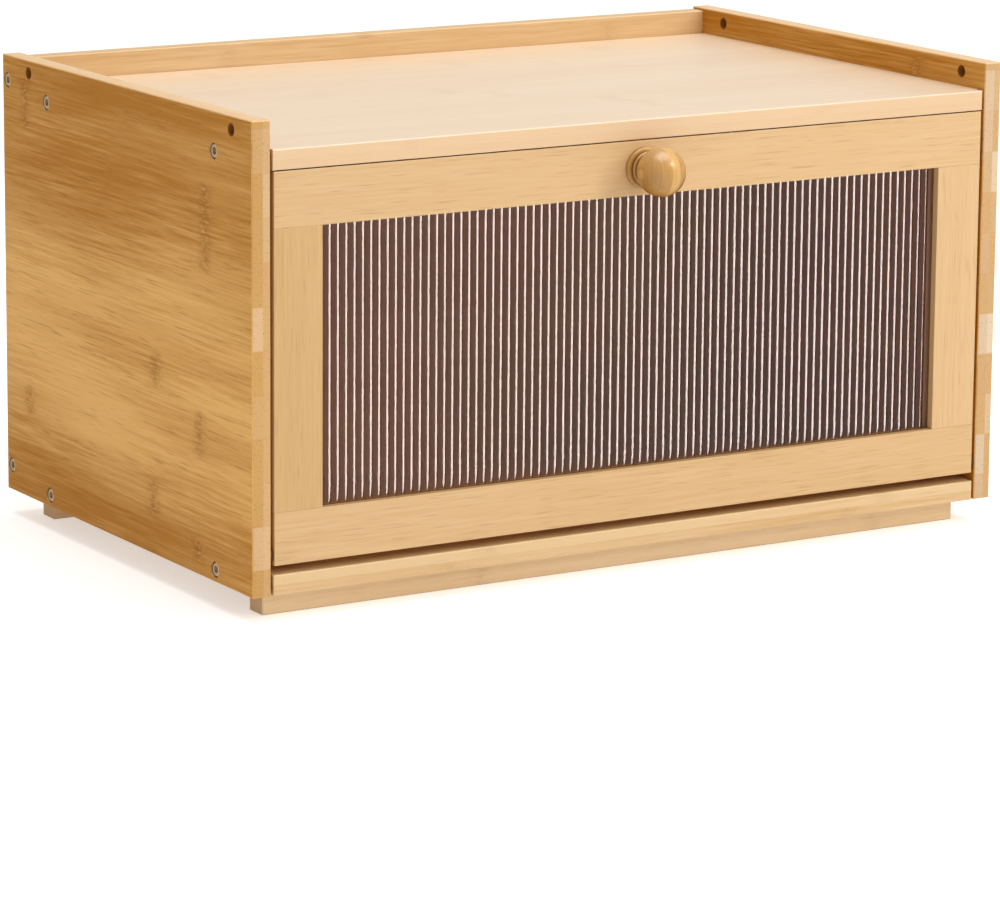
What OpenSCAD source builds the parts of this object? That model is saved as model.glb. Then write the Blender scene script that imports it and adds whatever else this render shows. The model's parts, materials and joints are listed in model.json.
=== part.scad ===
// Bamboo bread box: a screwed carcass of 10 mm boards with a tray rail on top,
// and a framed drop-down door with a ribbed acrylic window.
// Origin: centre of the overall box in plan, at the surface it stands on.
// +X to the right, +Y to the back, +Z up. The door faces -Y.

/* [Carcass] */
// Width over the two side panels
box_width = 432; // [380:1:480]
// Depth from the front edges to the back of the back panel
box_depth = 268; // [240:1:300]
// Height of the side panels
side_height = 227; // [200:1:260]
// Thickness of every board and of the door frame
board = 10; // [10:0.5:12]
// Rise of the side panels above the top board
rail_rise = 14; // [12:0.5:20]
// Step from the side panels' top edges down to the back panel's top edge
back_step = 1.5; // [0.5:0.5:4]
// Radius of the eased board edges
ease = 0.8; // [0.4:0.1:1.2]
// Plan radius of the front corners of the top and bottom boards
front_corner = 0.5; // [0.4:0.1:1.2]
// Width of the gap beside the front of each end of the top and bottom boards
end_gap = 1.3; // [0.8:0.1:2]
// Distance that this gap runs back from the front edge
end_gap_depth = 6; // [4:1:12]

/* [Foot strips] */
// Height and depth of a foot strip
foot = 13; // [10:1:16]
// Distance of a foot strip from the front or back face
foot_inset = 14.5; // [6:0.5:20]
// Gap between a foot strip's end and the side panel's inner face
foot_end_gap = 3; // [2:1:20]

/* [Air holes] */
// Number of air holes in the back panel
air_hole_count = 8; // [2:1:10]
// Diameter of an air hole
air_hole_d = 8; // [4:1:10]
// Distance between neighbouring air holes
air_hole_pitch = 24; // [16:1:30]

/* [Door] */
// Gap between the door and each side panel
side_gap = 1.8; // [1.8:0.1:3]
// Gap between the door and the bottom board
bottom_gap = 4.5; // [2.8:0.1:4.5]
// Gap between the door and the top board
top_gap = 0.5; // [0.4:0.1:2]
// Height of the door's top rail
top_rail = 27; // [24:0.5:32]
// Height of the door's bottom rail
bottom_rail = 25.5; // [22:0.5:32]
// Width of a door stile
stile = 26; // [20:1:34]
// Radius of the eased edges of the door frame
door_ease = 0.35; // [0.2:0.05:0.8]

/* [Window] */
// Thickness of the window over its ribs
pane_thickness = 3; // [2.8:0.1:3.2]
// Distance from the door's front face to the rib crests
pane_setback = 4; // [3.5:0.1:4.2]
// Distance between neighbouring ribs
rib_pitch = 4.5; // [3:0.5:6]
// Height of a rib
rib_rise = 0.9; // [0.4:0.1:1.2]

/* [Knob] */
// Diameter of the knob's ball
ball_d = 24; // [20:1:28]
// Distance from the door's front face to the tip of the knob
knob_reach = 28; // [26:1:32]
// Diameter of the knob's foot
knob_foot_d = 20.5; // [17:0.5:24]

/* [Hinge] */
// Diameter of a hinge pin
pin_d = 3; // [2.5:0.5:4]
// Height of the hinge axis above the door's lower edge
pin_height = 5; // [4.5:0.1:5.5]
// Distance of the hinge axis behind the door's front face
pin_setback = 4; // [4:0.1:5]
// Radial clearance of a pin in its bush
pin_play = 0.05; // [0.02:0.01:0.1]

/* [Fasteners and cross holes] */
// Head diameter of a side screw
head_d = 7; // [6:0.5:8]
// Shank diameter of a side screw
shank_d = 4; // [3:0.5:4.5]
// Length of a side screw below its head
shank_length = 30; // [25:1:40]
// Diameter of the cross holes in the side panels' raised rails
cross_hole_d = 6; // [4:0.5:7]

/* [Hidden] */
$fn = 48;

// Colours
bamboo = [0.84, 0.66, 0.42];
bamboo_side = [0.78, 0.58, 0.33];
bamboo_door = [0.89, 0.73, 0.49];
knob_wood = [0.80, 0.55, 0.29];
acrylic = [0.85, 0.88, 0.90, 0.45];
nickel = [0.76, 0.74, 0.70];
steel = [0.62, 0.63, 0.65];
brass = [0.80, 0.65, 0.32];
nylon = [0.32, 0.21, 0.13];
dark_steel = [0.22, 0.21, 0.20];

// Places of the carcass
half_width = box_width / 2;
inner_x = half_width - board;
front_y = -(box_depth - knob_reach) / 2;
back_y = front_y + box_depth;
base_z = foot;
floor_z = base_z + board;
side_top_z = base_z + side_height;
top_board_z = side_top_z - rail_rise - board;
back_top_z = side_top_z - back_step;
inner_depth = box_depth - board;

// Side screws: two into each of the top board, the bottom board and the back panel.
// Each spot is [y, z].
screw_front_y = front_y + 38;
screw_rear_y = back_y - 50;
screw_back_y = back_y - board / 2;
screw_end_gap = 13;
bottom_screw_rise = 6;
screw_spots = [
  [screw_front_y, top_board_z + board / 2],
  [screw_rear_y, top_board_z + board / 2],
  [screw_front_y, base_z + bottom_screw_rise],
  [screw_rear_y, base_z + bottom_screw_rise],
  [screw_back_y, side_top_z - screw_end_gap],
  [screw_back_y, base_z + screw_end_gap]
];
head_h = 2.6;
head_sink = 0.5;
head_round = 0.5;
counterbore_d = head_d + 1.2;
counterbore_h = head_h + head_sink;
pilot_depth = shank_length - (board - counterbore_h);
socket_d = 4.2;
socket_h = 1.8;

// Cross holes in the raised rails
cross_drop = 6.5;
cross_z = side_top_z - cross_drop;
cross_spots = [front_y + 20, back_y - 30.5];

// Air holes
air_hole_z = top_board_z - 25;

// Foot strips and their screws
foot_length = 2 * (inner_x - foot_end_gap);
front_foot_y = front_y + foot_inset;
rear_foot_y = back_y - foot_inset - foot;
foot_screw_pitch = 170;
foot_screw_d = 3.5;
foot_screw_bite = 7;
foot_screw_head_d = 7;
foot_screw_head_h = 2.2;
foot_screw_sink = 0.5;
foot_socket_d = 2.9;
foot_socket_h = 1.4;

// Door
door_x = inner_x - side_gap;
door_z = floor_z + bottom_gap;
door_top_z = top_board_z - top_gap;
window_x = door_x - stile;
window_z = door_z + bottom_rail;
window_top_z = door_top_z - top_rail;
door_back_y = front_y + board;
hinge_y = front_y + pin_setback;
hinge_z = door_z + pin_height;

// Grooves for the window and the tongues of the stiles
groove_depth = 4.5;
groove_play = 0.1;
groove_y = front_y + pane_setback - groove_play;
groove_w = pane_thickness + 2 * groove_play;
tongue = 4.2;
pane_bite = 4;
pane_x = window_x + pane_bite;
pane_z = window_z - pane_bite;
pane_height = window_top_z - window_z + 2 * pane_bite;
rib_radius = (pow(rib_pitch / 2, 2) + pow(rib_rise, 2)) / (2 * rib_rise);
rib_count = floor(2 * pane_x / rib_pitch);
sheet_t = pane_thickness - rib_rise;
sheet_y = front_y + pane_setback + rib_rise;

// Hinge pins and bushes
pin_bite = 14;
pin_reach = 5;
bush_d = pin_d + 2;
bush_depth = 6;
bush_flange_d = bush_d + 2;
bush_flange_t = 1.2;

// Magnetic catches
catch_x = 150;
catch_gap = 0.3;
catch_size = [30, 18, 18];
catch_y = door_back_y + catch_gap;
magnet_d = 8;
magnet_t = 3;
catch_z = top_board_z - 10;
catch_screw_d = 3;
catch_screw_bite = 7;
catch_screw_sink = 3;
catch_screw_y = catch_y + 11;
catch_head_d = 6;
catch_head_h = 2;
catch_socket_d = 2.9;
catch_socket_h = 1.3;
strike_d = 12;
strike_t = 1.2;
strike_hole_d = 2.5;
strike_head_d = 4.6;
strike_head_h = 1;
strike_screw_bite = 6;
strike_socket_d = 1.8;
strike_socket_h = 0.6;

// Knob
knob_z = door_top_z - top_rail / 2;
ball_y = front_y - knob_reach + ball_d / 2;
knob_foot_t = 2.6;
knob_foot_round = 0.8;
bead_d = knob_foot_d - 3.4;
bead_t = 1.8;
bead_gap = 0.5;
neck_d = knob_foot_d - 6;
knob_screw_d = 4;
insert_d = 6;
insert_length = 10;
insert_inset = 0.5;
washer_d = 9;
washer_t = 0.8;
knob_screw_head_d = 7.4;
knob_screw_head_h = 2.4;
knob_screw_engage = 8;
knob_socket_d = 3;
knob_socket_h = 1.4;

// ---------- Shared shapes ----------

// Rectangle from the origin with round corners
module rounded_rect(size, r) {
  translate([r, 0]) square([size.x - 2 * r, size.y]);
  translate([0, r]) square([size.x, size.y - 2 * r]);
  for (x = [r, size.x - r], y = [r, size.y - r])
    translate([x, y]) circle(r = r);
}

// Block from the origin with all its edges eased
module eased_block(size, r) {
  intersection() {
    linear_extrude(size.z) rounded_rect([size.x, size.y], r);
    rotate([90, 0, 90]) linear_extrude(size.x) rounded_rect([size.y, size.z], r);
    translate([0, size.y, 0])
      rotate([90, 0, 0]) linear_extrude(size.y) rounded_rect([size.x, size.z], r);
  }
}

// Board across the box, between the side panels, with its long edges eased
module cross_board(y, z, depth, height) {
  translate([-inner_x, y, z])
    rotate([90, 0, 90])
      linear_extrude(2 * inner_x) rounded_rect([depth, height], ease);
}

// Plan outline of a shelf board. Its ends are cut back at the front, which leaves a gap
// beside each side panel.
module shelf_plan() {
  translate([-inner_x, front_y + end_gap_depth])
    square([2 * inner_x, inner_depth - end_gap_depth]);
  translate([end_gap - inner_x, front_y])
    rounded_rect([2 * (inner_x - end_gap), inner_depth], front_corner);
}

// Horizontal board whose front edge shows under or over the door
module shelf_board(z) {
  intersection() {
    cross_board(front_y, z, inner_depth, board);
    translate([0, 0, z - 1]) linear_extrude(board + 2) shelf_plan();
  }
}

// Copies its child to both sides of the box; the child is drawn for the right
module on_side(side) {
  if (side > 0) children();
  else mirror([1, 0, 0]) children();
}

// Cylinder along +X from x
module rod_x(x, y, z, d, length) {
  translate([x, y, z]) rotate([0, 90, 0]) cylinder(d = d, h = length);
}

// Cylinder along +Y from y
module rod_y(x, y, z, d, length) {
  translate([x, y, z]) rotate([-90, 0, 0]) cylinder(d = d, h = length);
}

// Disc with its rim eased on the +Z side
module eased_disc(d, h, r) {
  rotate_extrude() {
    square([d / 2, h - r]);
    square([d / 2 - r, h]);
    translate([d / 2 - r, h - r]) circle(r = r);
  }
}

// Round-head screw along -Z with a hexagon socket; the head's underside is at z = 0
module socket_screw(head, head_height, shank, length, socket, socket_depth) {
  difference() {
    union() {
      eased_disc(head, head_height, head_round);
      translate([0, 0, -length]) cylinder(d = shank, h = length);
    }
    translate([0, 0, head_height - socket_depth])
      cylinder(d = socket, h = socket_depth + 1, $fn = 6);
  }
}

// Countersunk wood screw along -Z with a hexagon socket; the head's top is at z = 0
module flat_screw(head, head_height, shank, length, socket, socket_depth) {
  difference() {
    union() {
      translate([0, 0, -head_height])
        cylinder(d1 = shank, d2 = head, h = head_height);
      translate([0, 0, -length]) cylinder(d = shank, h = length);
    }
    translate([0, 0, -socket_depth])
      cylinder(d = socket, h = socket_depth + 1, $fn = 6);
  }
}

// ---------- Carcass ----------

// Counterbored holes for the side screws, cut into the right side panel
module side_screw_cuts() {
  for (spot = screw_spots) {
    rod_x(inner_x - 1, spot.x, spot.y, shank_d, board + 2);
    rod_x(half_width - counterbore_h, spot.x, spot.y, counterbore_d, board);
  }
}

module side_panel(side) {
  color(bamboo_side)
    on_side(side)
      difference() {
        translate([inner_x, front_y, base_z])
          eased_block([board, box_depth, side_height], ease);
        side_screw_cuts();
        for (y = cross_spots)
          rod_x(inner_x - 1, y, cross_z, cross_hole_d, board + 2);
        rod_x(inner_x - 1, hinge_y, hinge_z, bush_d, bush_depth + 1);
      }
}

module left_side_panel() { side_panel(-1); }
module right_side_panel() { side_panel(1); }

// Pilot holes for the side screws, in the ends of the boards
module side_screw_pilots() {
  for (side = [-1, 1])
    on_side(side)
      for (spot = screw_spots)
        rod_x(inner_x - pilot_depth, spot.x, spot.y, shank_d, pilot_depth + 1);
}

module top_board() {
  color(bamboo)
    difference() {
      shelf_board(top_board_z);
      side_screw_pilots();
      for (x = [-catch_x, catch_x])
        translate([x, catch_screw_y, top_board_z - 1])
          cylinder(d = catch_screw_d, h = catch_screw_bite + 1);
    }
}

module bottom_board() {
  color(bamboo)
    difference() {
      shelf_board(base_z);
      side_screw_pilots();
      for (x = [-1, 0, 1], y = [front_foot_y, rear_foot_y])
        translate([x * foot_screw_pitch, y + foot / 2, base_z - 1])
          cylinder(d = foot_screw_d, h = foot_screw_bite + 1);
    }
}

module back_panel() {
  color(bamboo)
    difference() {
      cross_board(back_y - board, base_z, board, back_top_z - base_z);
      side_screw_pilots();
      for (i = [0 : air_hole_count - 1])
        rod_y((i - (air_hole_count - 1) / 2) * air_hole_pitch, back_y - board - 1,
              air_hole_z, air_hole_d, board + 2);
    }
}

module foot_strip(y) {
  color(bamboo)
    difference() {
      translate([-foot_length / 2, y, 0])
        eased_block([foot_length, foot, foot], ease);
      for (x = [-1, 0, 1])
        translate([x * foot_screw_pitch, y + foot / 2, 0]) {
          translate([0, 0, -1]) cylinder(d = foot_screw_d, h = foot + 2);
          translate([0, 0, -1]) cylinder(d = foot_screw_head_d, h = foot_screw_sink + 1);
          translate([0, 0, foot_screw_sink])
            cylinder(d1 = foot_screw_head_d, d2 = foot_screw_d, h = foot_screw_head_h);
        }
    }
}

module front_foot_strip() { foot_strip(front_foot_y); }
module rear_foot_strip() { foot_strip(rear_foot_y); }

module side_screws(side) {
  color(nickel)
    on_side(side)
      for (spot = screw_spots)
        translate([half_width - counterbore_h, spot.x, spot.y])
          rotate([0, 90, 0])
            socket_screw(head_d, head_h, shank_d, shank_length, socket_d, socket_h);
}

module left_side_screws() { side_screws(-1); }
module right_side_screws() { side_screws(1); }

module foot_strip_screws() {
  color(steel)
    for (x = [-1, 0, 1], y = [front_foot_y, rear_foot_y])
      translate([x * foot_screw_pitch, y + foot / 2, foot_screw_sink])
        rotate([180, 0, 0])
          flat_screw(foot_screw_head_d, foot_screw_head_h, foot_screw_d,
                     foot + foot_screw_bite - 1, foot_socket_d, foot_socket_h);
}

module hinge_bush(side) {
  color(nylon)
    on_side(side)
      difference() {
        union() {
          rod_x(inner_x, hinge_y, hinge_z, bush_d, bush_depth);
          rod_x(inner_x - bush_flange_t, hinge_y, hinge_z, bush_flange_d, bush_flange_t);
        }
        rod_x(inner_x - bush_flange_t - 1, hinge_y, hinge_z,
              pin_d + 2 * pin_play, bush_depth + bush_flange_t + 2);
      }
}

module left_hinge_bush() { hinge_bush(-1); }
module right_hinge_bush() { hinge_bush(1); }

module catch_block(side) {
  color(bamboo)
    on_side(side)
      difference() {
        translate([catch_x - catch_size.x / 2, catch_y, top_board_z - catch_size.z])
          eased_block(catch_size, door_ease);
        rod_y(catch_x, catch_y - 1, catch_z, magnet_d, magnet_t + 1);
        translate([catch_x, catch_screw_y, top_board_z - catch_size.z - 1]) {
          cylinder(d = catch_screw_d, h = catch_size.z + 2);
          cylinder(d = catch_head_d + 0.4, h = catch_screw_sink + 1);
        }
      }
}

module left_catch_block() { catch_block(-1); }
module right_catch_block() { catch_block(1); }

module catch_magnet(side) {
  color(steel)
    on_side(side)
      rod_y(catch_x, catch_y, catch_z, magnet_d, magnet_t);
}

module left_catch_magnet() { catch_magnet(-1); }
module right_catch_magnet() { catch_magnet(1); }

module catch_block_screws() {
  color(steel)
    for (side = [-1, 1])
      translate([side * catch_x, catch_screw_y,
                 top_board_z - catch_size.z + catch_screw_sink])
        rotate([180, 0, 0])
          socket_screw(catch_head_d, catch_head_h, catch_screw_d,
                       catch_size.z - catch_screw_sink + catch_screw_bite - 0.5,
                       catch_socket_d, catch_socket_h);
}

// ---------- Door ----------

// Groove along the frame's inner edges that holds the window
module window_groove() {
  gx = window_x + groove_depth;
  translate([-gx, groove_y, window_z - groove_depth])
    cube([2 * gx, groove_w, window_top_z - window_z + 2 * groove_depth]);
}

// Groove along the whole length of a rail
module rail_groove(z) {
  translate([-door_x - 1, groove_y, z])
    cube([2 * door_x + 2, groove_w, groove_depth + 1]);
}

module strike_cuts() {
  for (x = [-catch_x, catch_x]) {
    rod_y(x, door_back_y - strike_t, catch_z, strike_d, strike_t + 1);
    rod_y(x, door_back_y - strike_screw_bite, catch_z, strike_hole_d, strike_screw_bite);
  }
}

module door_top_rail() {
  color(bamboo_door)
    difference() {
      translate([-door_x, front_y, window_top_z])
        eased_block([2 * door_x, board, top_rail], door_ease);
      rail_groove(window_top_z - 1);
      rod_y(0, front_y - 1, knob_z, knob_screw_d, board + 2);
      strike_cuts();
    }
}

module door_bottom_rail() {
  color(bamboo_door)
    difference() {
      translate([-door_x, front_y, door_z])
        eased_block([2 * door_x, board, bottom_rail], door_ease);
      rail_groove(window_z - groove_depth);
      for (side = [-1, 1])
        on_side(side)
          rod_x(door_x - pin_bite, hinge_y, hinge_z, pin_d, pin_bite + 1);
    }
}

module door_stile(side) {
  color(bamboo_door)
    on_side(side)
      difference() {
        union() {
          translate([window_x, front_y, window_z])
            eased_block([stile, board, window_top_z - window_z], door_ease);
          translate([window_x, groove_y, window_z - tongue])
            cube([stile, groove_w, window_top_z - window_z + 2 * tongue]);
        }
        window_groove();
      }
}

module door_left_stile() { door_stile(-1); }
module door_right_stile() { door_stile(1); }

module fluted_window() {
  color(acrylic)
    translate([0, 0, pane_z])
      linear_extrude(pane_height) {
        translate([-pane_x, sheet_y]) square([2 * pane_x, sheet_t]);
        intersection() {
          translate([-rib_count * rib_pitch / 2, sheet_y - rib_rise - 1])
            square([rib_count * rib_pitch, rib_rise + 1.5]);
          for (i = [0 : rib_count - 1])
            translate([(i - (rib_count - 1) / 2) * rib_pitch, sheet_y - rib_rise + rib_radius])
              circle(r = rib_radius);
        }
      }
}

// Profile of the knob about its axis; y is the distance from the door
module knob_profile() {
  r = knob_foot_round;
  ball_h = knob_reach - ball_d / 2;
  bead_r = bead_t / 2;
  bead_y = knob_foot_t + bead_gap + bead_r;
  square([neck_d / 2, ball_h]);
  square([knob_foot_d / 2 - r, knob_foot_t]);
  translate([0, r]) square([knob_foot_d / 2, knob_foot_t - 2 * r]);
  for (y = [r, knob_foot_t - r])
    translate([knob_foot_d / 2 - r, y]) circle(r = r);
  translate([0, bead_y - bead_r]) square([bead_d / 2 - bead_r, bead_t]);
  translate([bead_d / 2 - bead_r, bead_y]) circle(r = bead_r);
  intersection() {
    translate([0, ball_h]) circle(d = ball_d);
    square([ball_d, knob_reach]);
  }
}

module door_knob() {
  color(knob_wood)
    difference() {
      translate([0, front_y, knob_z])
        rotate([90, 0, 0]) rotate_extrude() knob_profile();
      rod_y(0, front_y - insert_length - insert_inset - 1, knob_z, insert_d,
            insert_length + insert_inset + 2);
    }
}

module knob_insert() {
  color(brass)
    difference() {
      rod_y(0, front_y - insert_length - insert_inset, knob_z, insert_d, insert_length);
      rod_y(0, front_y - insert_length - insert_inset - 1, knob_z, knob_screw_d,
            insert_length + 2);
    }
}

module knob_washer() {
  color(steel)
    difference() {
      rod_y(0, door_back_y, knob_z, washer_d, washer_t);
      rod_y(0, door_back_y - 1, knob_z, knob_screw_d + 0.3, washer_t + 2);
    }
}

module knob_screw() {
  color(nickel)
    translate([0, door_back_y + washer_t, knob_z])
      rotate([-90, 0, 0])
        socket_screw(knob_screw_head_d, knob_screw_head_h, knob_screw_d,
                     washer_t + board + knob_screw_engage, knob_socket_d, knob_socket_h);
}

module hinge_pin(side) {
  color(dark_steel)
    on_side(side)
      rod_x(door_x - pin_bite, hinge_y, hinge_z, pin_d, pin_bite + side_gap + pin_reach);
}

module left_hinge_pin() { hinge_pin(-1); }
module right_hinge_pin() { hinge_pin(1); }

module strike_plate(side) {
  color(steel)
    on_side(side)
      difference() {
        rod_y(catch_x, door_back_y - strike_t, catch_z, strike_d, strike_t);
        rod_y(catch_x, door_back_y - strike_t - 1, catch_z, strike_hole_d, strike_t + 2);
        translate([catch_x, door_back_y, catch_z])
          rotate([90, 0, 0])
            cylinder(d1 = strike_head_d, d2 = strike_hole_d, h = strike_head_h);
      }
}

module left_strike_plate() { strike_plate(-1); }
module right_strike_plate() { strike_plate(1); }

module strike_plate_screws() {
  color(nickel)
    for (side = [-1, 1])
      translate([side * catch_x, door_back_y, catch_z])
        rotate([-90, 0, 0])
          flat_screw(strike_head_d, strike_head_h, strike_hole_d, strike_screw_bite - 0.2,
                     strike_socket_d, strike_socket_h);
}

left_side_panel();
right_side_panel();
top_board();
bottom_board();
back_panel();
front_foot_strip();
rear_foot_strip();
left_side_screws();
right_side_screws();
foot_strip_screws();
left_hinge_bush();
right_hinge_bush();
left_catch_block();
right_catch_block();
left_catch_magnet();
right_catch_magnet();
catch_block_screws();
door_top_rail();
door_bottom_rail();
door_left_stile();
door_right_stile();
fluted_window();
door_knob();
knob_insert();
knob_screw();
knob_washer();
left_hinge_pin();
right_hinge_pin();
left_strike_plate();
right_strike_plate();
strike_plate_screws();
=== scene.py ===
"""The looks of a bamboo bread box with a drop-down door: materials, ribbed window, knob and screws.

Everything is in metres, in the CAD frame: +X to the right, +Y to the back, +Z up, feet at z = 0.
Boards keep their CAD shape and get a solid bamboo material; the window, the knob and the
side screws are replaced by finer meshes in the same places.
"""
import json
import math

import bmesh
import bpy
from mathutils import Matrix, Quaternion, Vector


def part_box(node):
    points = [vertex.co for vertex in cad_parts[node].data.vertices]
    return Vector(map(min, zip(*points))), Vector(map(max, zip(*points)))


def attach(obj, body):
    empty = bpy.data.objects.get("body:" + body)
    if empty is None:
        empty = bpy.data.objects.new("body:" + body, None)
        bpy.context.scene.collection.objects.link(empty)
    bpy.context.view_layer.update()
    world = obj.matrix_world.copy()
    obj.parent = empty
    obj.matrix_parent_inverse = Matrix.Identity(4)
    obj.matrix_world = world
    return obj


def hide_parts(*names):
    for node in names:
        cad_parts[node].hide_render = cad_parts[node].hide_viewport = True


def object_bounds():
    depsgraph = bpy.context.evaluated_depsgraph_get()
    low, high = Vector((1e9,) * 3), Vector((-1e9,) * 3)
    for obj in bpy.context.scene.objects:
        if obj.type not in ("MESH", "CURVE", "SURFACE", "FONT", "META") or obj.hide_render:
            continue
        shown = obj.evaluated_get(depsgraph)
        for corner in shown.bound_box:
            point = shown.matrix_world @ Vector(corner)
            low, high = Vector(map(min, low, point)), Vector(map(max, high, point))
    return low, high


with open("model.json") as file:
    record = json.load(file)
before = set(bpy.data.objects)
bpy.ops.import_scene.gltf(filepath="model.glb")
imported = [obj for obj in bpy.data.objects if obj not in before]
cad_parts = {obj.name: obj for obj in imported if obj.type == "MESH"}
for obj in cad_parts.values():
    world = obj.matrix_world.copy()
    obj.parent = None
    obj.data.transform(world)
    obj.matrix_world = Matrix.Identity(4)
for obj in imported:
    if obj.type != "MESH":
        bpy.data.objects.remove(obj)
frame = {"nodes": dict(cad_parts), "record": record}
cad_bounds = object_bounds()

MM = 0.001
AXES = "XYZ"


# ---------------------------------------------------------------- node trees

class Tree:
    """Short calls for building one material's node tree."""

    def __init__(self, name):
        self.material = bpy.data.materials.new(name)
        self.material.use_nodes = True
        self.nodes = self.material.node_tree.nodes
        self.links = self.material.node_tree.links
        self.nodes.clear()
        self.output = self.nodes.new("ShaderNodeOutputMaterial")

    def put(self, socket, value):
        """Links a socket or sets a plain value."""
        if isinstance(value, bpy.types.NodeSocket):
            self.links.new(value, socket)
        else:
            socket.default_value = value

    def node(self, kind, inputs=None, **settings):
        made = self.nodes.new("ShaderNode" + kind)
        for name, value in settings.items():
            setattr(made, name, value)
        for name, value in (inputs or {}).items():
            self.put(made.inputs[name], value)
        return made

    def math(self, operation, a, b=0.0, clamp=False):
        made = self.node("Math", {0: a, 1: b}, operation=operation, use_clamp=clamp)
        return made.outputs[0]

    def vector(self, x, y, z):
        return self.node("CombineXYZ", {0: x, 1: y, 2: z}).outputs[0]

    def place(self):
        """The point's own coordinates: they ride with the piece."""
        there = self.node("TexCoord").outputs["Object"]
        return self.node("SeparateXYZ", {0: there}).outputs

    def noise(self, at, detail=2.0, rough=0.5, bend=0.0):
        """Smooth noise from 0 to 1 at a point already scaled to the noise's size."""
        made = self.node(
            "TexNoise",
            {"Vector": at, "Scale": 1.0, "Detail": detail, "Roughness": rough, "Distortion": bend},
        )
        return made.outputs["Fac"]

    def chance(self, at):
        """An even random value and a random colour for each whole-number point."""
        made = self.node("TexWhiteNoise", {"Vector": at}, noise_dimensions="3D")
        return made.outputs["Value"], self.node("SeparateColor", {0: made.outputs["Color"]}).outputs

    def remap(self, value, low, high, new_low=0.0, new_high=1.0, smooth=False):
        made = self.node(
            "MapRange",
            {"Value": value, "From Min": low, "From Max": high, "To Min": new_low, "To Max": new_high},
            interpolation_type="SMOOTHSTEP" if smooth else "LINEAR",
        )
        return made.outputs[0]

    def bell(self, distance, width):
        """1 where the distance is 0, falling smoothly to 0 a few widths away."""
        share = self.math("DIVIDE", distance, width)
        square = self.math("MULTIPLY", share, share)
        return self.math("EXPONENT", self.math("MULTIPLY", square, -1.0))

    def mix(self, share, a, b, blend="MIX"):
        made = self.node("Mix", data_type="RGBA", blend_type=blend, clamp_factor=True)
        self.put(made.inputs[0], share)
        self.put(made.inputs[6], a)
        self.put(made.inputs[7], b)
        return made.outputs[2]

    def bump(self, height, distance, strength=1.0):
        made = self.node("Bump", {"Height": height, "Distance": distance, "Strength": strength})
        return made.outputs[0]

    def surface(self, **inputs):
        """A Principled surface: names have _ for a space."""
        named = {name.replace("_", " "): value for name, value in inputs.items()}
        made = self.node("BsdfPrincipled", named)
        self.links.new(made.outputs[0], self.output.inputs[0])
        return made


def srgb(red, green, blue):
    """A colour given as 0 to 255 screen values, as the linear colour that sockets take."""
    def linear(value):
        share = value / 255
        return share / 12.92 if share <= 0.04045 else ((share + 0.055) / 1.055) ** 2.4
    return (linear(red), linear(green), linear(blue), 1.0)


# ---------------------------------------------------------------- bamboo

# Painted shade for the walls of the cross holes
HOLE_SHADE = srgb(150, 96, 44)
# Painted light: the colour towards which the faces that look up are paled
TOP_LIGHT_TONE = srgb(240, 212, 176)
NODE_SPACING = 235 * MM
NODE_BLOTCH = 6 * MM
NODE_RING = 1.0 * MM
NODE_WANDER = 7 * MM      # how far a node wanders along the fibres
MARK_RIM = 2.5 * MM       # half the soft end of a chosen node
PLY_SLACK = 0.1 * MM      # keeps the faces inside the outer plies
SEAM_WIDTH = 0.35 * MM
# How far the painted crevice shade looks for nearby surfaces
CREVICE_SHADE_REACH = 3 * MM
RELIEF_DEPTH = 0.12 * MM

# How fast each noise changes with the fibres and across them, per metre
BROAD_BANDS = (5.5, 17.0)
NARROW_BANDS = (6.0, 62.0)
CALM_PATCHES = (9.0, 45.0)
FINE_STREAKS = (20.0, 640.0)
SHORT_DASHES = (48.0, 1150.0)
NODE_RIPPLES = (260.0, 820.0)

# How strongly each mark shows in the colour
ROSY_SHARE = 0.15
DASH_SHARE = 0.17
SEAM_SHARE = 0.07
BLOTCH_SHARE = 0.33
RING_SHARE = 0.05
PALE_RIPPLES = 1.6
DARK_RIPPLES = -2.0
CREVICE_SHADE_SHARE = 0.62

# What a board's look can set, and what it is otherwise
LOOK = {
    "strip": 21 * MM,         # width of a strip
    "plies": 2,               # layers through the thickness
    "contrast": 1.0,          # strength of the soft bands
    "fine": 1.0,              # strength of the fine streaks
    "dashes": 1.0,            # strength of the short dark dashes
    "knots": 1.0,             # strength of nodes at chance places
    "base": 0.12,             # how deep the tone is on the whole
    "ply_tones": (0.0, 0.0),  # how much deeper the first and the second ply are
    "deeper": (),             # (from, to, amount) ramps across the strips, from the lowest corner
    "marks": (),              # (along, low, high) of chosen nodes, from the lowest corner
    "rim_share": 0.0,         # how much the sawn rims show pale and tan blocks of their own
    "rims": (srgb(219, 200, 174), srgb(200, 165, 120)),
    "ply_rims": (1.0, 1.0),   # how deep the rim's blocks are in the first and the second ply
    "end_shade": 0.0,         # how much darker the end grain is painted: painted shade on the end faces
    "painted_top_light": 0.0,          # how much paler the faces that look up are painted, as painted light from above
    "gloss": 0.45,
    "coat": 0.15,
}


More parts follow.
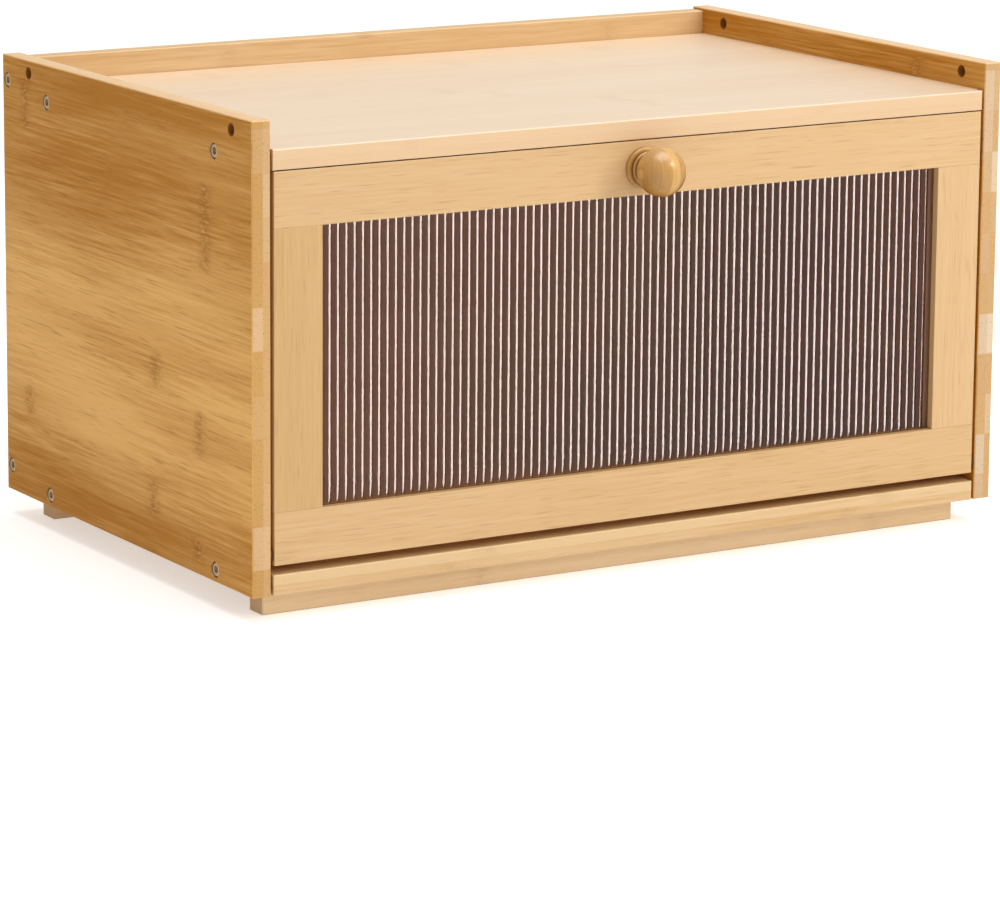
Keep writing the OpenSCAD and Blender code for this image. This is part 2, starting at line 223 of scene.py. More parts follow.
class Bamboo(Tree):
    """Laminated bamboo as a solid texture: strips of their own tone side by side in each ply.

    grain and across are the letters of the fibres' and the strips' directions, and tone is a
    pair of pale and deep colours.
    """

    def __init__(self, board, grain, across, tone, seed, **look):
        super().__init__(board + "_bamboo")
        self.board, self.tone, self.seed = board, tone, seed
        self.look = {**LOOK, **look}
        self.g, self.a = AXES.index(grain), AXES.index(across)
        self.t = 3 - self.g - self.a
        self.low, self.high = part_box(board)
        self.point = self.place()
        self.along, self.over, self.into = (self.point[axis] for axis in (self.g, self.a, self.t))
        self.find_strip()
        self.find_faces()
        self.find_fibres()
        self.find_culm_nodes()
        self.finish()

    def stretched(self, fine_along, fine_over):
        """The point scaled so that noise is long with the fibres and fine across them."""
        return self.vector(
            self.math("MULTIPLY", self.along, fine_along),
            self.math("MULTIPLY", self.math("ADD", self.over, self.seed), fine_over),
            self.math("MULTIPLY", self.into, fine_over),
        )

    def find_strip(self):
        """Which strip and which ply the point is in, and random values of their own."""
        strip = self.look["strip"]
        ply = (self.high[self.t] - self.low[self.t] + 2 * PLY_SLACK) / self.look["plies"]
        first = self.low[self.a] - 0.37 * strip
        self.strip_at = self.math("DIVIDE", self.math("SUBTRACT", self.over, first), strip)
        ply_at = self.math("DIVIDE", self.math("SUBTRACT", self.into, self.low[self.t] - PLY_SLACK), ply)
        self.ply_no = self.math("FLOOR", ply_at)
        spot = self.vector(self.math("FLOOR", self.strip_at), self.ply_no, self.seed)
        self.own, self.own_more = self.chance(spot)

    def find_faces(self):
        """How far the surface is an end, a sawn rim or an eased edge."""
        facing = self.node("SeparateXYZ", {0: self.node("TexCoord").outputs["Normal"]}).outputs
        x, y, z = (self.math("ABSOLUTE", part) for part in facing)
        self.end = (x, y, z)[self.g]
        self.up = self.math("MAXIMUM", facing[2], 0.0)
        self.rim = self.math("SUBTRACT", 1.0, (x, y, z)[self.t], clamp=True)
        flat = self.math("MAXIMUM", self.math("MAXIMUM", x, y), z)
        self.edge = self.remap(flat, 0.97, 0.80, smooth=True)

    def find_fibres(self):
        """Long soft bands, fine streaks and short dark dashes."""
        broad = self.noise(self.stretched(*BROAD_BANDS), 1.0)
        bands = self.noise(self.stretched(*NARROW_BANDS), 3.0, 0.50)
        self.bands = self.math("ADD", self.math("MULTIPLY", broad, 0.5), self.math("MULTIPLY", bands, 0.5))
        calm = self.noise(self.stretched(*CALM_PATCHES), 1.0)
        self.streaks = self.noise(self.stretched(*FINE_STREAKS), 3.0, 0.62)
        self.streak = self.math("MULTIPLY", self.math("SUBTRACT", self.streaks, 0.5),
                                self.remap(calm, 0.3, 0.7, 0.5, 1.6))
        dashes = self.noise(self.stretched(*SHORT_DASHES), 1.0)
        self.dash = self.remap(dashes, 0.58, 0.76, smooth=True)

    def find_culm_nodes(self):
        """The culm's nodes: soft blotches, thin rings and short ripples across the fibres."""
        wander = self.noise(self.vector(self.math("MULTIPLY", self.over, 170.0), self.own, self.seed), 2.0)
        wander = self.math("MULTIPLY", self.math("SUBTRACT", wander, 0.5), NODE_WANDER)
        spaced = self.math("ADD", self.math("DIVIDE", self.along, NODE_SPACING), self.own_more[1])
        off = self.math("SUBTRACT", self.math("FRACT", spaced), 0.5)
        off = self.math("ADD", self.math("MULTIPLY", off, NODE_SPACING), wander)
        strength = self.math("MULTIPLY", self.own_more[2], self.look["knots"])
        self.blotch = self.math("MULTIPLY", self.bell(off, NODE_BLOTCH), strength)
        self.ring = self.math("MULTIPLY", self.bell(off, NODE_RING), strength)
        for mark in self.look["marks"]:
            self.add_mark(*mark, wander)
        ripples = self.noise(self.stretched(*NODE_RIPPLES), 2.0, 0.5, 0.7)
        self.ripple = self.math("MULTIPLY", self.math("SUBTRACT", ripples, 0.5), self.blotch)

    def add_mark(self, at, low, high, wander):
        """One node of the culm at a chosen place, between two heights across the strips."""
        at, low, high = at + self.low[self.g], low + self.low[self.a], high + self.low[self.a]
        off = self.math("ADD", self.math("SUBTRACT", self.along, at), wander)
        inside = self.math(
            "MULTIPLY",
            self.remap(self.over, low - MARK_RIM, low + MARK_RIM, smooth=True),
            self.remap(self.over, high - MARK_RIM, high + MARK_RIM, 1.0, 0.0, smooth=True),
        )
        blotch = self.math("MULTIPLY", self.bell(off, NODE_BLOTCH), inside)
        ring = self.math("MULTIPLY", self.bell(off, NODE_RING), inside)
        self.blotch = self.math("MAXIMUM", self.blotch, blotch)
        self.ring = self.math("MAXIMUM", self.ring, ring)

    def depth_of_tone(self):
        """How deep the tone is, from 0 to 1."""
        contrast = self.look["contrast"]
        share = self.math("MULTIPLY", self.own, self.remap(self.end, 0.0, 1.0, 0.30 * contrast, 0.75))
        share = self.math("ADD", share, self.look["base"])
        share = self.math("ADD", share, self.remap(self.ply_no, 0.0, 1.0, *self.look["ply_tones"]))
        for start, stop, amount in self.look["deeper"]:
            start, stop = start + self.low[self.a], stop + self.low[self.a]
            share = self.math("ADD", share, self.remap(self.over, start, stop, 0.0, amount, smooth=True))
        bands = self.math("MULTIPLY", self.math("SUBTRACT", self.bands, 0.5), 1.9 * contrast)
        fibres = self.math("ADD", bands, self.math("MULTIPLY", self.streak, 1.35 * self.look["fine"]))
        fibres = self.math("MULTIPLY", fibres, self.remap(self.end, 0.0, 1.0, 1.0, 0.3))
        return self.math("ADD", share, fibres, clamp=True)

    def seam(self):
        """1 on the glue lines between strips."""
        edge = self.math("ABSOLUTE", self.math("SUBTRACT", self.math("FRACT", self.strip_at), 0.5))
        return self.bell(self.math("SUBTRACT", edge, 0.5), SEAM_WIDTH / self.look["strip"])

    def colour(self):
        pale, deep = self.tone
        dark = (deep[0] * 0.60, deep[1] * 0.47, deep[2] * 0.34, 1.0)
        bright = (min(1, pale[0] * 1.2), min(1, pale[1] * 1.25), min(1, pale[2] * 1.35), 1.0)
        rosy = (pale[0] * 1.02, pale[1] * 0.91, pale[2] * 0.92, 1.0)
        colour = self.mix(self.depth_of_tone(), pale, deep)
        deep_blocks = self.math("MULTIPLY", self.remap(self.own, 0.08, 0.45),
                                self.remap(self.ply_no, 0.0, 1.0, *self.look["ply_rims"]))
        blocks = self.mix(deep_blocks, *self.look["rims"])
        colour = self.mix(self.math("MULTIPLY", self.rim, self.look["rim_share"]), colour, blocks)
        # Painted light: faces that look up are painted paler
        colour = self.mix(self.math("MULTIPLY", self.up, self.look["painted_top_light"]), colour, TOP_LIGHT_TONE)
        colour = self.mix(self.math("MULTIPLY", self.own_more[0], ROSY_SHARE), colour, rosy)
        colour = self.mix(self.math("MULTIPLY", self.dash, DASH_SHARE * self.look["dashes"]), colour, dark)
        colour = self.mix(self.math("MULTIPLY", self.seam(), SEAM_SHARE), colour, dark)
        knot = self.math("ADD", self.math("MULTIPLY", self.blotch, BLOTCH_SHARE),
                         self.math("MULTIPLY", self.ring, RING_SHARE))
        colour = self.mix(knot, colour, dark)
        colour = self.mix(self.math("MULTIPLY", self.ripple, PALE_RIPPLES, clamp=True), colour, bright)
        colour = self.mix(self.math("MULTIPLY", self.ripple, DARK_RIPPLES, clamp=True), colour, dark)
        # Painted shade on the end grain
        colour = self.mix(self.math("MULTIPLY", self.end, self.look["end_shade"]), colour, dark)
        # Painted highlight along the eased edges
        colour = self.mix(self.math("MULTIPLY", self.edge, self.edge_highlight()), colour, bright)
        # Painted shade in the cross holes and in the crevices
        return self.shade_in_crevices(self.shade_in_holes(colour), dark)

    def edge_highlight(self):
        """How strongly the eased edges are painted pale as a painted highlight, unevenly along them like
        rubbed lacquer.
        """
        highlight_noise = self.noise(self.vector(*(self.math("MULTIPLY", part, 90.0) for part in self.point)), 2.0)
        return self.remap(highlight_noise, 0.35, 0.65, 0.15, 0.50)

    def shade_in_crevices(self, colour, dark):
        """Painted shade, darker where little light can reach: in gaps, joints and inner corners; it stands
        also for dust there.
        """
        open_share = self.node("AmbientOcclusion", {"Distance": CREVICE_SHADE_REACH}, samples=8).outputs["AO"]
        return self.mix(self.remap(open_share, 0.08, 0.55, CREVICE_SHADE_SHARE, 0.0), colour, dark)

    def shade_in_holes(self, colour):
        """Painted shade on the walls of the cross holes and just round them, whose places the record's
        mounts give.
        """
        side = self.board.split("_")[0]
        if not self.board.endswith("_side_panel"):
            return colour
        for mount in frame["record"]["mounts"]:
            if mount["kind"] == "bore" and mount["name"].startswith(side):
                centre, radius = mount["pos_m"], mount["dims"]["r_mm"] * MM
                dy = self.math("SUBTRACT", self.point[1], centre[1])
                dz = self.math("SUBTRACT", self.point[2], centre[2])
                square = self.math("ADD", self.math("MULTIPLY", dy, dy), self.math("MULTIPLY", dz, dz))
                reach = self.math("SQRT", square)
                inside = self.remap(reach, radius + 0.05 * MM, radius + 0.5 * MM, 1.0, 0.0, smooth=True)
                colour = self.mix(inside, colour, HOLE_SHADE)
        return colour

    def relief(self):
        """Height of the surface: open fibres, dashes, rippled nodes and glue lines."""
        height = self.math("MULTIPLY", self.streaks, 0.5)
        for part, amount in ((self.dash, -0.35), (self.ripple, 0.45), (self.seam(), -0.3)):
            height = self.math("ADD", height, self.math("MULTIPLY", part, amount))
        return height

    def finish(self):
        self.surface(
            Base_Color=self.colour(),
            Roughness=self.math("ADD", self.math("MULTIPLY", self.streaks, 0.16), 0.36),
            Normal=self.bump(self.relief(), RELIEF_DEPTH, 0.35),
            Coat_Weight=self.look["coat"],
            Coat_Roughness=0.30,
            Specular_IOR_Level=self.look["gloss"],
        )


SIDE_TONE = (srgb(235, 184, 108), srgb(180, 117, 28))
# The top board's tone is painted a little paler as painted light, standing in for the key lamp's light kept
# off it
TOP_TONE = (srgb(244, 221, 191), srgb(222, 184, 136))
SHELF_TONE = (srgb(226, 193, 145), srgb(203, 158, 96))
DOOR_TONE = (srgb(222, 186, 136), srgb(202, 156, 92))
# The foot strips' tone is painted paler as painted light, standing in for light that the bottom board's
# overhang keeps off them
FOOT_TONE = (srgb(246, 218, 175), srgb(230, 190, 130))

LEFT_MARKS = [
    (242 * MM, 193 * MM, 218 * MM),
    (47 * MM, 149 * MM, 191 * MM),
    (99 * MM, 85 * MM, 101 * MM),
    (240 * MM, 44 * MM, 59 * MM),
    (53 * MM, 59 * MM, 80 * MM),
    (102 * MM, 19 * MM, 37 * MM),
    (56 * MM, 6 * MM, 17 * MM),
]
# Ramps that make the left panel deeper towards its top and its bottom: partly the bamboo's own tone, partly
# painted shade
LEFT_DEEPER = [(95 * MM, 185 * MM, 0.62), (185 * MM, 224 * MM, 0.25), (60 * MM, 8 * MM, 0.78)]
SIDE_LOOK = {"gloss": 0.08, "coat": 0.0, "rim_share": 0.9, "plies": 1.7, "fine": 0.85, "dashes": 2.0,
             "painted_top_light": 0.6}
LEFT_RIMS = (srgb(216, 181, 140), srgb(197, 156, 98))
TOP_RIMS = (srgb(247, 208, 160), srgb(243, 202, 152))
FRAME_LOOK = {"contrast": 0.35, "fine": 0.7, "dashes": 2.0, "knots": 0.12, "strip": 40 * MM, "coat": 0.35}
FOOT_LOOK = {"plies": 1, "base": 0.0, "knots": 0.4, "fine": 0.6, "end_shade": 0.60}

BOARDS = {
    "left_side_panel": ("Y", "Z", SIDE_TONE, 3.0,
                        {"marks": LEFT_MARKS, "knots": 0.0, "deeper": LEFT_DEEPER, "base": 0.0,
                         "ply_tones": (0.0, -0.15), "ply_rims": (1.0, 0.6), "rims": LEFT_RIMS, **SIDE_LOOK}),
    # The right panel's inner ply is painted much deeper: painted shade on its inner face beside the top
    # board
    "right_side_panel": ("Y", "Z", SIDE_TONE, 11.0, {"ply_tones": (0.70, 0.1), **SIDE_LOOK}),
    "top_board": ("X", "Y", TOP_TONE, 5.0,
                  {"contrast": 0.35, "fine": 0.4, "dashes": 0.6, "knots": 0.3, "ply_tones": (0.55, 0.0),
                   "coat": 0.6, "rim_share": 0.8, "rims": TOP_RIMS}),
    "bottom_board": ("X", "Y", SHELF_TONE, 17.0, {"ply_tones": (0.25, -0.1), "base": 0.0}),
    "back_panel": ("X", "Z", SHELF_TONE, 23.0, {"base": 0.2}),
    "front_foot_strip": ("X", "Y", FOOT_TONE, 31.0, FOOT_LOOK),
    "rear_foot_strip": ("X", "Y", FOOT_TONE, 37.0, FOOT_LOOK),
    "door_top_rail": ("X", "Z", DOOR_TONE, 41.0, FRAME_LOOK),
    "door_bottom_rail": ("X", "Z", DOOR_TONE, 43.0, {**FRAME_LOOK, "base": 0.25}),
    "door_left_stile": ("Z", "X", DOOR_TONE, 47.0, {**FRAME_LOOK, "base": 0.55}),
    "door_right_stile": ("Z", "X", DOOR_TONE, 53.0, {**FRAME_LOOK, "base": 0.1}),
    "left_catch_block": ("X", "Z", SHELF_TONE, 59.0, {"plies": 1}),
    "right_catch_block": ("X", "Z", SHELF_TONE, 61.0, {"plies": 1}),
}


def dress(node, material):
    """Gives a CAD node one material over its whole surface."""
    mesh = frame["nodes"][node].data
    mesh.materials.clear()
    mesh.materials.append(material)


def dress_boards():
    for board, (grain, across, tone, seed, look) in BOARDS.items():
        dress(board, Bamboo(board, grain, across, tone, seed, **look).material)


# ---------------------------------------------------------------- metal, nylon and acrylic

def metal(name, colour, roughness, smudge=0.10):
    """Plated or turned metal: fine scratches, uneven gloss, and painted shade in its recesses, standing also
    for grime.
    """
    tree = Tree(name)
    point = tree.place()
    scales = (900.0, 900.0, 3600.0)
    fine = tree.noise(tree.vector(*(tree.math("MULTIPLY", p, s) for p, s in zip(point, scales))), 3.0, 0.6)
    broad = tree.noise(tree.vector(*(tree.math("MULTIPLY", part, 160.0) for part in point)), 2.0)
    dull = tuple(part * 0.78 for part in colour[:3]) + (1.0,)
    recess_shade = tuple(part * 0.10 for part in colour[:3]) + (1.0,)
    plated = tree.mix(tree.math("MULTIPLY", broad, 0.5), colour, dull)
    # Painted shade, near black in sockets and other recesses
    open_share = tree.node("AmbientOcclusion", {"Distance": 2 * MM}, samples=8).outputs["AO"]
    tree.surface(
        Base_Color=tree.mix(tree.remap(open_share, 0.15, 0.60, 0.9, 0.0), plated, recess_shade),
        Metallic=1.0,
        Roughness=tree.math("ADD", tree.math("MULTIPLY", fine, smudge), roughness),
        Normal=tree.bump(fine, 0.01 * MM, 0.3),
    )
    return tree.material


def nylon():
    """Brown moulded nylon: softly glossy, with a faint moulded grain."""
    tree = Tree("brown_nylon")
    grain = tree.noise(tree.vector(*(tree.math("MULTIPLY", part, 1500.0) for part in tree.place())), 2.0)
    tree.surface(
        Base_Color=tree.mix(grain, srgb(92, 58, 32), srgb(76, 46, 24)),
        Roughness=tree.math("ADD", tree.math("MULTIPLY", grain, 0.12), 0.45),
        Normal=tree.bump(grain, 0.02 * MM, 0.3),
        Specular_IOR_Level=0.3,
    )
    return tree.material


def acrylic():
    """Clear ribbed acrylic. Only what the camera sees first is bent: other light goes straight through."""
    tree = Tree("clear_acrylic")
    x, y, z = tree.place()
    haze = tree.noise(tree.vector(
        tree.math("MULTIPLY", x, 60.0), tree.math("MULTIPLY", y, 60.0),
        tree.math("MULTIPLY", z, 25.0)), 3.0)
    clear = tree.surface(
        Base_Color=tree.mix(haze, srgb(247, 240, 243), srgb(242, 233, 237)),
        Roughness=tree.remap(haze, 0.3, 0.7, 0.02, 0.04),
        Transmission_Weight=1.0,
        IOR=1.49,
        Coat_Weight=1.0,
        Coat_Roughness=0.03,
        Normal=tree.bump(haze, 0.01 * MM, 0.01),
    )
    through = tree.node("BsdfTransparent", {"Color": PANE_DIMS})
    ray = tree.node("LightPath").outputs["Is Camera Ray"]
    both = tree.node("MixShader", {0: ray, 1: through.outputs[0], 2: clear.outputs[0]})
    tree.links.new(both.outputs[0], tree.output.inputs[0])
    return tree.material


KNOB_LAYER = 5.2 * MM
KNOB_LAYER_SHIFT = 1.3 * MM


def knob_bamboo():
    """Turned from laminated bamboo: upright layers of different tone under a glossy lacquer."""
    tree = Tree("turned_bamboo")
    x, y, z = tree.place()
    layer_at = tree.math("DIVIDE", tree.math("ADD", x, KNOB_LAYER_SHIFT), KNOB_LAYER)
    layer_no = tree.math("FLOOR", layer_at)
    own = tree.chance(tree.vector(layer_no, 2.0, 7.0))[0]
    streaks = tree.noise(tree.vector(
        tree.math("MULTIPLY", x, 900.0), tree.math("MULTIPLY", y, 500.0),
        tree.math("MULTIPLY", z, 45.0)), 2.5, 0.6)
    share = tree.math("ADD", tree.math("MULTIPLY", own, 0.75), tree.math(
        "MULTIPLY", tree.math("SUBTRACT", streaks, 0.5), 0.8), clamp=True)
    colour = tree.mix(share, srgb(222, 174, 96), srgb(172, 116, 46))
    edge = tree.math("ABSOLUTE", tree.math("SUBTRACT", tree.math("FRACT", layer_at), 0.5))
    seam = tree.bell(tree.math("SUBTRACT", edge, 0.5), 0.04)
    colour = tree.mix(tree.math("MULTIPLY", seam, 0.15), colour, srgb(130, 76, 28))
    # Painted shade: darker in the knob's grooves and where its foot meets the door
    open_share = tree.node("AmbientOcclusion", {"Distance": 4 * MM}, samples=8).outputs["AO"]
    colour = tree.mix(tree.remap(open_share, 0.2, 0.85, 0.85, 0.0), colour, srgb(104, 56, 18))
    tree.surface(
        Base_Color=colour,
        Roughness=tree.remap(streaks, 0.2, 0.8, 0.34, 0.46),
        Coat_Weight=1.0,
        Coat_Roughness=0.26,
        Normal=tree.bump(streaks, 0.05 * MM, 0.15),
    )
    return tree.material


PANE_DIMS = (0.78, 0.68, 0.58, 1.0)
NICKEL = metal("nickel_plate", srgb(242, 220, 186), 0.28)
ZINC = metal("zinc_plate", srgb(200, 204, 210), 0.34)
PIN = metal("black_oxide_steel", srgb(70, 62, 56), 0.35)
BRASS = metal("turned_brass", srgb(214, 178, 104), 0.26)
MAGNET = metal("magnet_plate", srgb(212, 212, 214), 0.12)
NYLON = nylon()

HARDWARE = {
    NICKEL: ["knob_screw", "strike_plate_screws"],
    ZINC: ["foot_strip_screws", "catch_block_screws", "knob_washer",
           "left_strike_plate", "right_strike_plate"],
    PIN: ["left_hinge_pin", "right_hinge_pin"],
    BRASS: ["knob_insert"],
    MAGNET: ["left_catch_magnet", "right_catch_magnet"],
    NYLON: ["left_hinge_bush", "right_hinge_bush"],
}


def dress_hardware():
    for material, nodes in HARDWARE.items():
        for node in nodes:
            dress(node, material)


# ---------------------------------------------------------------- finer pieces

SHARP_ANGLE = math.radians(35)
POINT_RADIUS = 0.02 * MM


def piece(name, build, material, body, node):
    """Makes a mesh piece that stands for a CAD node and rides on its body."""
    mesh = bpy.data.meshes.new(name)
    bm = bmesh.new()
    build(bm)
    bmesh.ops.recalc_face_normals(bm, faces=bm.faces)
    for face in bm.faces:
        face.smooth = True
    bm.to_mesh(mesh)
    bm.free()
    mesh.set_sharp_from_angle(angle=SHARP_ANGLE)
    mesh.materials.append(material)
    made = bpy.data.objects.new(name, mesh)
    bpy.context.scene.collection.objects.link(made)
    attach(made, body)
    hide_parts(node)
    return made


RIB_PITCH = 4.5 * MM
RIB_RISE = 0.9 * MM
RIB_STEPS = 14


def pane_outline(low, high):
    """The pane's section in plan: round ribs in front, flat at the back."""
    radius = ((RIB_PITCH / 2) ** 2 + RIB_RISE ** 2) / (2 * RIB_RISE)
    count = int((high.x - low.x) / RIB_PITCH)
    start = (low.x + high.x) / 2 - count * RIB_PITCH / 2
    half_angle = math.asin(RIB_PITCH / 2 / radius)
    sheet = low.y + RIB_RISE
    points = [(low.x, sheet)]
    for rib in range(count):
        middle = start + (rib + 0.5) * RIB_PITCH
        for step in range(RIB_STEPS):
            angle = -half_angle + 2 * half_angle * step / RIB_STEPS
            points.append((middle + radius * math.sin(angle), low.y + radius * (1 - math.cos(angle))))
    points += [(start + count * RIB_PITCH, sheet), (high.x, sheet), (high.x, high.y), (low.x, high.y)]
    return points


def build_pane(bm):
    """The ribbed window, with the ribs running up and down."""
    low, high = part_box("fluted_window")
    outline = pane_outline(low, high)
    lower = [bm.verts.new((x, y, low.z)) for x, y in outline]
    upper = [bm.verts.new((x, y, high.z)) for x, y in outline]
    for here in range(len(outline)):
        there = (here + 1) % len(outline)
        bm.faces.new((lower[here], lower[there], upper[there], upper[here]))
    bm.faces.new(lower)
    bm.faces.new(upper)


def turned(bm, rings, sides, spot):
    """A closed surface through rings of points round an axis.

    A ring is (distance along the axis, radius), where the radius may depend on the angle.
    spot gives the place of a point from its distance along the axis and its two offsets.
    """
    rows = []
    for along, radius in rings:
        row = []
        for side in range(sides):
            angle = 2 * math.pi * side / sides
            out = radius(angle) if callable(radius) else radius
            row.append(bm.verts.new(spot(along, out * math.cos(angle), out * math.sin(angle))))
        rows.append(row)
    for near, far in zip(rows, rows[1:]):
        for side in range(sides):
            after = (side + 1) % sides
            bm.faces.new((near[side], near[after], far[after], far[side]))
    bm.faces.new(rows[0])
    bm.faces.new(rows[-1])


def arc(centre, radius, start, end, steps):
    """Rings (along, out) on a circle of the outline, from one angle to another in degrees."""
    rings = []
    for step in range(steps + 1):
        angle = math.radians(start + (end - start) * step / steps)
        rings.append((centre[0] + radius * math.cos(angle), centre[1] + radius * math.sin(angle)))
    return rings


KNOB_SIDES = 96
BALL_RADIUS = 12 * MM
FOOT_RADIUS, FOOT_DEPTH, FOOT_ROUND = 10.25 * MM, 2.6 * MM, 0.8 * MM
FOOT_BEVEL = 0.25 * MM
BEAD_RADIUS, BEAD_DEPTH = 8.55 * MM, 1.8 * MM
GROOVE = 0.5 * MM
NECK_RADIUS = 7.25 * MM
BORE_RADIUS, BORE_DEPTH = 3 * MM, 11.5 * MM


def knob_rings(reach):
    """The knob's outline from the end of its bore, round the foot, to the tip of the ball."""
    bead_start = FOOT_DEPTH + GROOVE
    ball_at = reach - BALL_RADIUS
    meets = math.degrees(math.asin(NECK_RADIUS / BALL_RADIUS))
    rings = [(BORE_DEPTH, POINT_RADIUS), (BORE_DEPTH, BORE_RADIUS), (0.0, BORE_RADIUS)]
    rings += [(0.0, FOOT_RADIUS - FOOT_BEVEL), (FOOT_BEVEL, FOOT_RADIUS)]
    rings += arc((FOOT_DEPTH - FOOT_ROUND, FOOT_RADIUS - FOOT_ROUND), FOOT_ROUND, 90, 0, 6)
    rings += [(FOOT_DEPTH, NECK_RADIUS), (bead_start, NECK_RADIUS)]
    rings += arc((bead_start + BEAD_DEPTH / 2, BEAD_RADIUS - BEAD_DEPTH / 2), BEAD_DEPTH / 2, 180, 0, 10)
    rings += [(bead_start + BEAD_DEPTH, NECK_RADIUS)]
    rings += arc((ball_at, 0), BALL_RADIUS, 180 - meets, 0.2, 40)
    return rings


def build_knob(bm):
    """Turns the knob's outline round its axis, which points out of the door."""
    low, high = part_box("door_knob")
    centre = (low + high) / 2

    def spot(along, across, up):
        return (centre.x + across, high.y - along, centre.z + up)

    turned(bm, knob_rings(high.y - low.y), KNOB_SIDES, spot)


SCREW_SIDES = 36
HEAD_HEIGHT = 2.6 * MM
HEAD_DOME = 0.8 * MM
SOCKET_LIP = 2.45 * MM
SOCKET_CORNER = 2.1 * MM
SOCKET_DEPTH = 1.8 * MM
THREAD_PITCH = 1.6 * MM
THREAD_CREST = 2.0 * MM
THREAD_CORE = 1.45 * MM
THREAD_STEPS = 6
PLAIN_SHANK = 6 * MM
TIP_LENGTH = 5 * MM


def islands(node):
    """The lowest and highest corners of each separate solid in a CAD node, in a fixed order."""
    solids = bmesh.new()
    solids.from_mesh(frame["nodes"][node].data)
    bmesh.ops.remove_doubles(solids, verts=solids.verts, dist=0.001 * MM)
    waiting = set(solids.verts)
    boxes = []
    while waiting:
        reached = [waiting.pop()]
        for vert in reached:
            near = {edge.other_vert(vert) for edge in vert.link_edges} & waiting
            waiting -= near
            reached += near
        low = Vector([min(vert.co[axis] for vert in reached) for axis in range(3)])
        high = Vector([max(vert.co[axis] for vert in reached) for axis in range(3)])
        boxes.append((low, high))
    solids.free()
    return sorted(boxes, key=lambda corners: tuple(corners[0]))


def hexagon(corner):
    """A hexagon's radius at an angle, from its radius at the corners."""
    side = math.radians(60)

    def radius(angle):
        return corner * math.cos(side / 2) / math.cos((angle + side / 2) % side - side / 2)

    return radius


def thread(along, taper):
    """A screw thread's radius at an angle, a given distance along the shank."""
    def radius(angle):
        turn = (along / THREAD_PITCH - angle / (2 * math.pi)) % 1.0
        crest = max(0.0, (abs(2 * turn - 1) - 0.4) / 0.6)
        return taper * (THREAD_CORE + (THREAD_CREST - THREAD_CORE) * crest)
    return radius


def screw_rings(length, head_radius):
    """A side screw's outline, from its tip to the bottom of its socket. The head starts at 0."""
    step = THREAD_PITCH / THREAD_STEPS
    rings = [(-length, POINT_RADIUS)]
    for number in range(1, int((length - PLAIN_SHANK) / step)):
        along = -length + number * step
        rings.append((along, thread(along, min(1.0, number * step / TIP_LENGTH))))
    rings += [(-PLAIN_SHANK, THREAD_CORE), (-PLAIN_SHANK + step, THREAD_CREST), (0, THREAD_CREST)]
    shoulder = HEAD_HEIGHT - HEAD_DOME
    rings += [(0, head_radius - HEAD_DOME / 4), (HEAD_DOME / 4, head_radius), (shoulder, head_radius)]
    for number in range(1, 9):
        angle = math.radians(90 * number / 8)
        out = SOCKET_LIP + (head_radius - SOCKET_LIP) * math.cos(angle)
        rings.append((shoulder + HEAD_DOME * math.sin(angle), out))
    floor = HEAD_HEIGHT - SOCKET_DEPTH
    rings += [(HEAD_HEIGHT - 0.15 * MM, hexagon(SOCKET_CORNER)), (floor, hexagon(SOCKET_CORNER))]
    rings += [(floor - 0.25 * MM, POINT_RADIUS)]
    return rings


def side_screws(node, outward):
    """Builds a screw in the place of each one in the node. outward is the heads' direction along X."""
    def build(bm):
        for low, high in islands(node):
            centre = (low + high) / 2
            face = high.x if outward > 0 else low.x

            def spot(along, across, up):
                return (face + outward * (along - HEAD_HEIGHT), centre.y + across, centre.z + up)

            rings = screw_rings(high.x - low.x - HEAD_HEIGHT, (high.y - low.y) / 2)
            turned(bm, rings, SCREW_SIDES, spot)
    return build


def add_finer_pieces():
    piece("ribbed_window_pane", build_pane, acrylic(), "door", "fluted_window")
    piece("turned_knob", build_knob, knob_bamboo(), "door", "door_knob")
    for side, outward in (("left", -1), ("right", 1)):
        node = side + "_side_screws"
        piece(side + "_socket_screws", side_screws(node, outward), NICKEL, "carcass", node)


# ---------------------------------------------------------------- studio

WORLD_STRENGTH = 0.52
FLOOR_RADIUS = 9.0
WHITE = (1, 1, 1)

# Name, azimuth, elevation, distance in metres, size in metres, watts, colour
LIGHTS = [
    ("key", 34, 20, 2.4, (0.5, 0.5), 10, (1.0, 0.98, 0.95)),
    ("upper_front", 30, 38, 2.3, (0.7, 0.6), 10, WHITE),
    ("overhead", 10, 84, 2.2, (1.8, 1.8), 31, WHITE),
    ("low_strip", 60, -18, 2.4, (1.9, 1.7), 76, (1.0, 0.88, 0.80)),
]


def studio_floor():
    """A plain pale floor under the feet, brighter to the eye than in the light that it gives back."""
    tree = Tree("pale_floor")
    x, y, z = tree.place()
    mottle = tree.noise(tree.vector(
        tree.math("MULTIPLY", x, 8.0), tree.math("MULTIPLY", y, 8.0), z), 3.0)
    seen = tree.node("LightPath").outputs["Is Camera Ray"]
    tree.surface(
        Base_Color=tree.mix(mottle, srgb(248, 247, 245), srgb(244, 243, 241)),
        Roughness=0.85,
        Specular_IOR_Level=0.1,
        Emission_Color=(1.0, 1.0, 1.0, 1.0),
        Emission_Strength=tree.remap(seen, 0.0, 1.0, 0.15, 0.45),
    )
    bpy.ops.mesh.primitive_circle_add(vertices=96, radius=FLOOR_RADIUS, fill_type="NGON")
    floor = bpy.context.object
    floor.name = "floor"
    floor.data.materials.append(tree.material)
    floor.visible_glossy = False


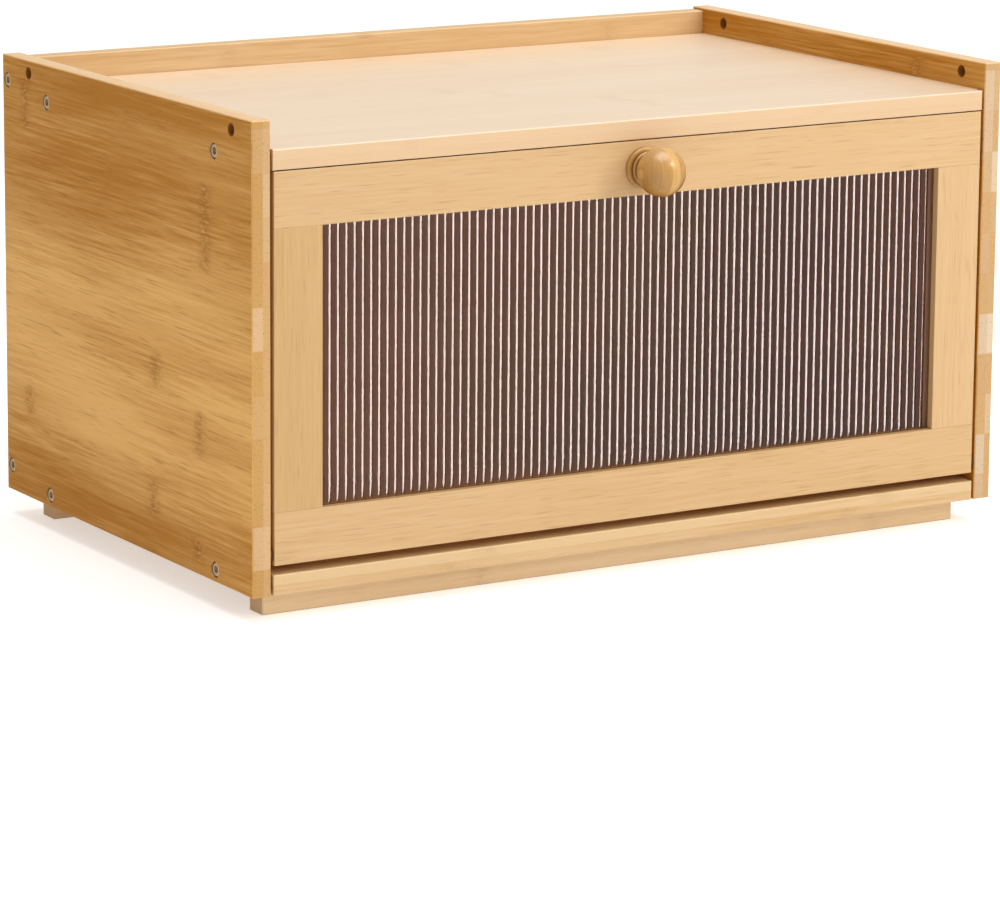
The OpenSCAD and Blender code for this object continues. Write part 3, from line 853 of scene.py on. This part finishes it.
def soft_light(name, azimuth, elevation, distance, size, watts, colour):
    """A square softbox aimed at the box. Azimuth 0 is in front, 90 to the right."""
    low, high = cad_bounds
    centre = (low + high) / 2
    a, e = math.radians(azimuth), math.radians(elevation)
    back = Vector((math.sin(a) * math.cos(e), -math.cos(a) * math.cos(e), math.sin(e)))
    data = bpy.data.lights.new(name, "AREA")
    data.shape = "RECTANGLE"
    data.size, data.size_y = size
    data.energy = watts
    data.color = colour
    lamp = bpy.data.objects.new(name, data)
    lamp.location = centre + back * distance
    lamp.rotation_mode = "QUATERNION"
    lamp.rotation_quaternion = (-back).to_track_quat("-Z", "Y")
    lamp.visible_camera = False
    bpy.context.scene.collection.objects.link(lamp)
    return lamp


def only_on(lamp, piece_name):
    """Lets a lamp light one piece and nothing else."""
    lit = bpy.data.collections.new(lamp.name + "_lights")
    lit.objects.link(bpy.data.objects[piece_name])
    lamp.light_linking.receiver_collection = lit


def not_on(lamp, node):
    """Keeps a lamp's light off one CAD node, which would mirror it at a low angle."""
    unlit = bpy.data.collections.new(lamp.name + "_spares")
    unlit.objects.link(frame["nodes"][node])
    unlit.collection_objects[0].light_linking.link_state = "EXCLUDE"
    lamp.light_linking.receiver_collection = unlit


def studio_world(strength):
    """An even white surround."""
    world = bpy.data.worlds.new("studio")
    world.use_nodes = True
    ground = world.node_tree.nodes["Background"]
    ground.inputs["Color"].default_value = (1.0, 0.99, 0.975, 1.0)
    ground.inputs["Strength"].default_value = strength
    bpy.context.scene.world = world


def studio():
    studio_floor()
    studio_world(WORLD_STRENGTH)
    lamps = {lamp[0]: soft_light(*lamp) for lamp in LIGHTS}
    lamps["key"].visible_glossy = False
    not_on(lamps["key"], "top_board")
    only_on(lamps["low_strip"], "ribbed_window_pane")
    bpy.context.scene.view_settings.view_transform = "Standard"


CAMERA_PLACE = Vector((-1.2161, -1.9847, 0.5546))
CAMERA_AZIMUTH = -30.93
CAMERA_ELEVATION = 11.03
CAMERA_ROLL = 0.378
CAMERA_LENS = 166.7
CAMERA_SHIFT = (0.0319, -0.1198)


def camera():
    """The camera at the reference view: from the left front, a little above the top board."""
    a, e = math.radians(CAMERA_AZIMUTH), math.radians(CAMERA_ELEVATION)
    back = Vector((math.sin(a) * math.cos(e), -math.cos(a) * math.cos(e), math.sin(e)))
    data = bpy.data.cameras.new("camera")
    data.sensor_width = 36
    data.lens = CAMERA_LENS
    data.shift_x, data.shift_y = CAMERA_SHIFT
    data.dof.use_dof = False
    data.clip_start, data.clip_end = 0.05, 50
    made = bpy.data.objects.new("camera", data)
    made.location = CAMERA_PLACE
    made.rotation_mode = "QUATERNION"
    roll = Quaternion((0, 0, 1), math.radians(CAMERA_ROLL))
    made.rotation_quaternion = (-back).to_track_quat("-Z", "Y") @ roll
    bpy.context.scene.collection.objects.link(made)
    bpy.context.scene.camera = made


dress_boards()
dress_hardware()
add_finer_pieces()
studio()
camera()
